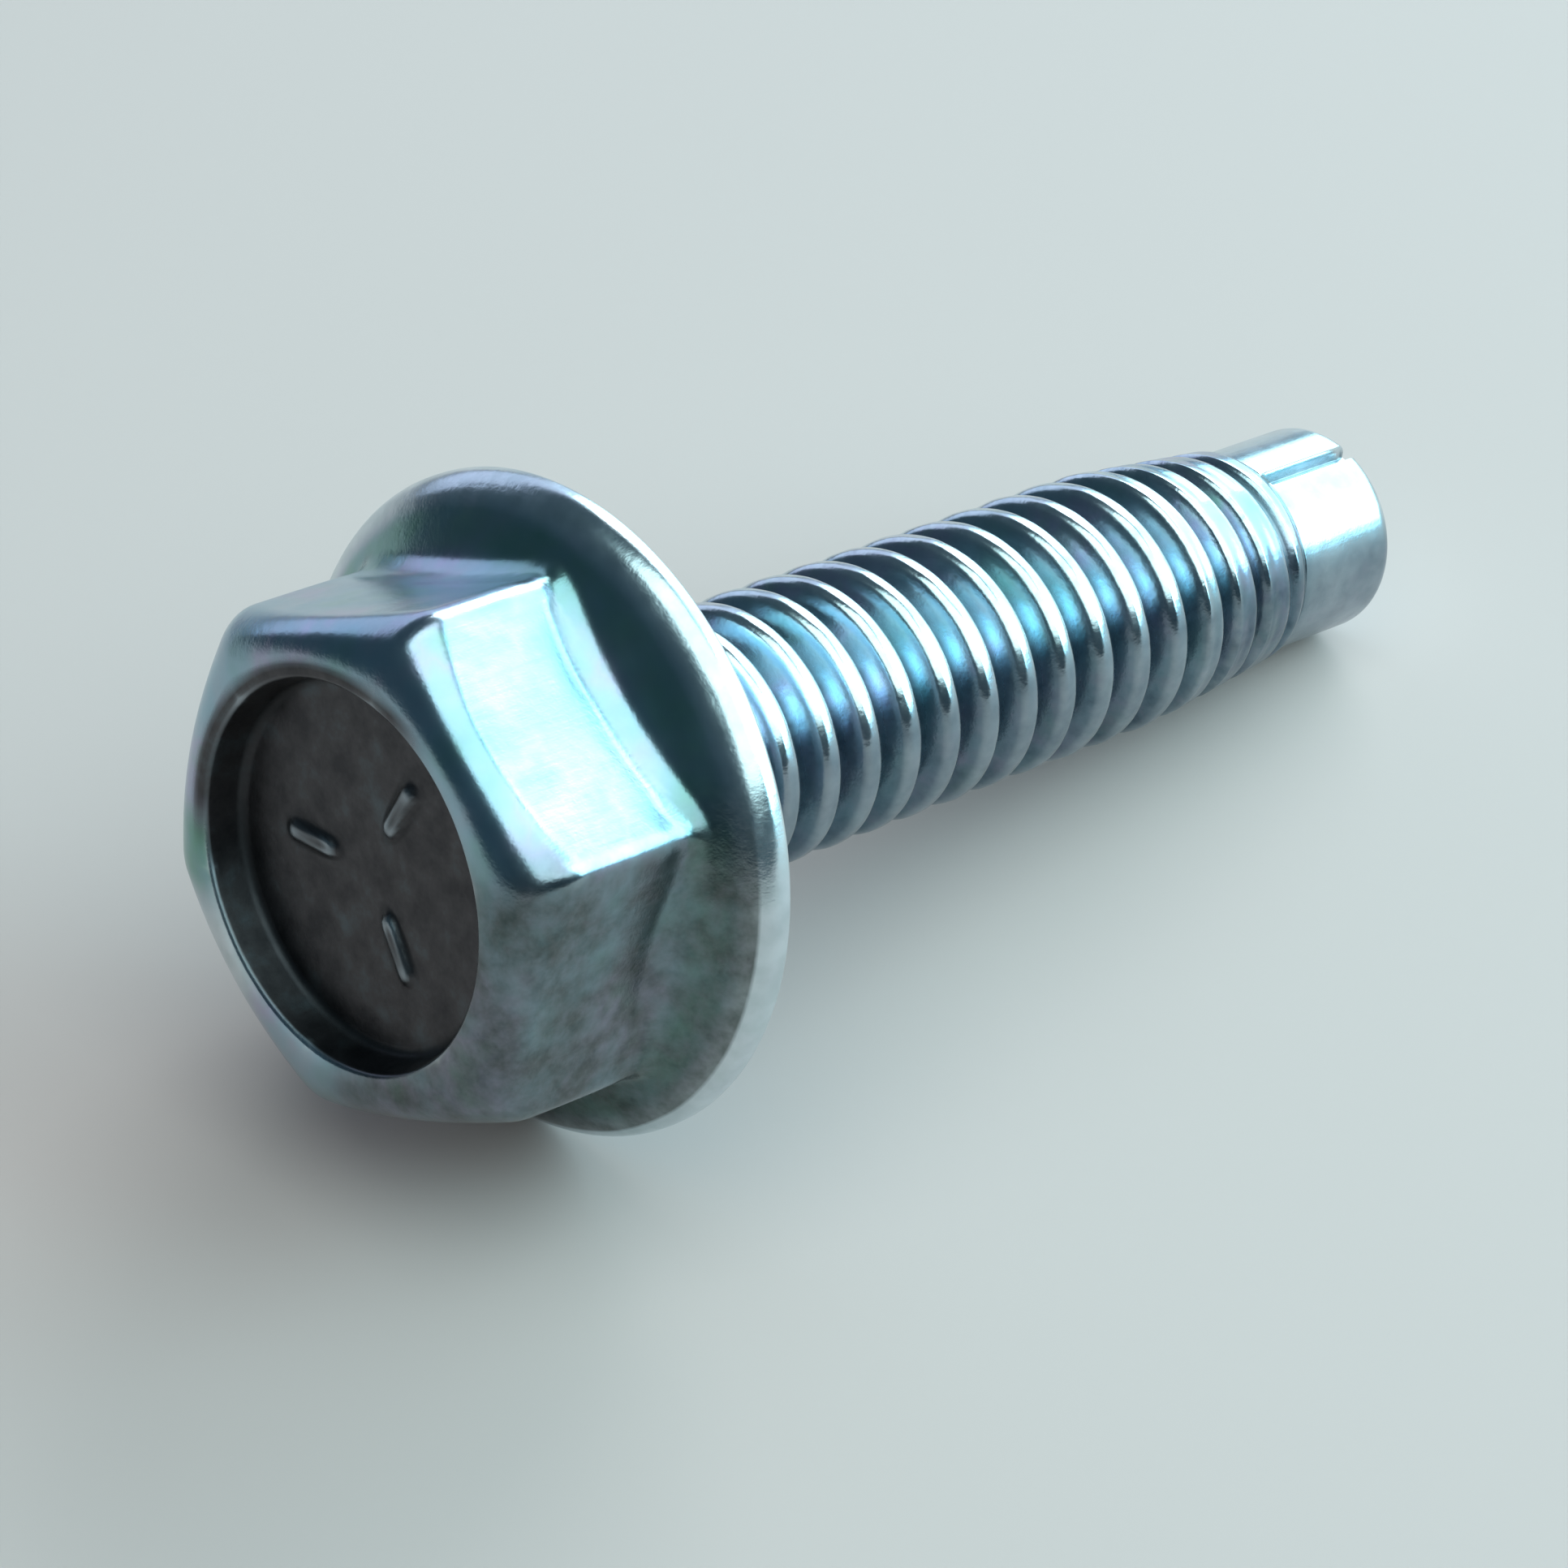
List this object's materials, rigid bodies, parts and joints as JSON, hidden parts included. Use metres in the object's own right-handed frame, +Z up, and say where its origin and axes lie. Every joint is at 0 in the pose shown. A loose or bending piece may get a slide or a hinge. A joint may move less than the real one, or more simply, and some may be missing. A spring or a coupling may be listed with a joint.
{
  "type": "flange bolt",
  "caption": "Zinc-plated steel flange bolt with an indented hexagon head, a cone flange, a thread up to the flange and a slotted dog point.",
  "frame": {"origin": "centre of the footprint on the surface the bolt lies on", "axes": "+Z up; the bolt lies at rest on its flange rim and its point, with its axis in the XZ plane, head towards -X and point towards +X and down"},
  "size_m": [0.0322, 0.015, 0.0148],
  "materials": {
    "zinc_plated_steel": "clear blue zinc plate on cold-formed steel, bright on the flats, the rim and the thread crests, duller in the recess"
  },
  "bodies": {
    "root": {"flange_bolt": "zinc_plated_steel"}
  },
  "joints": []
}
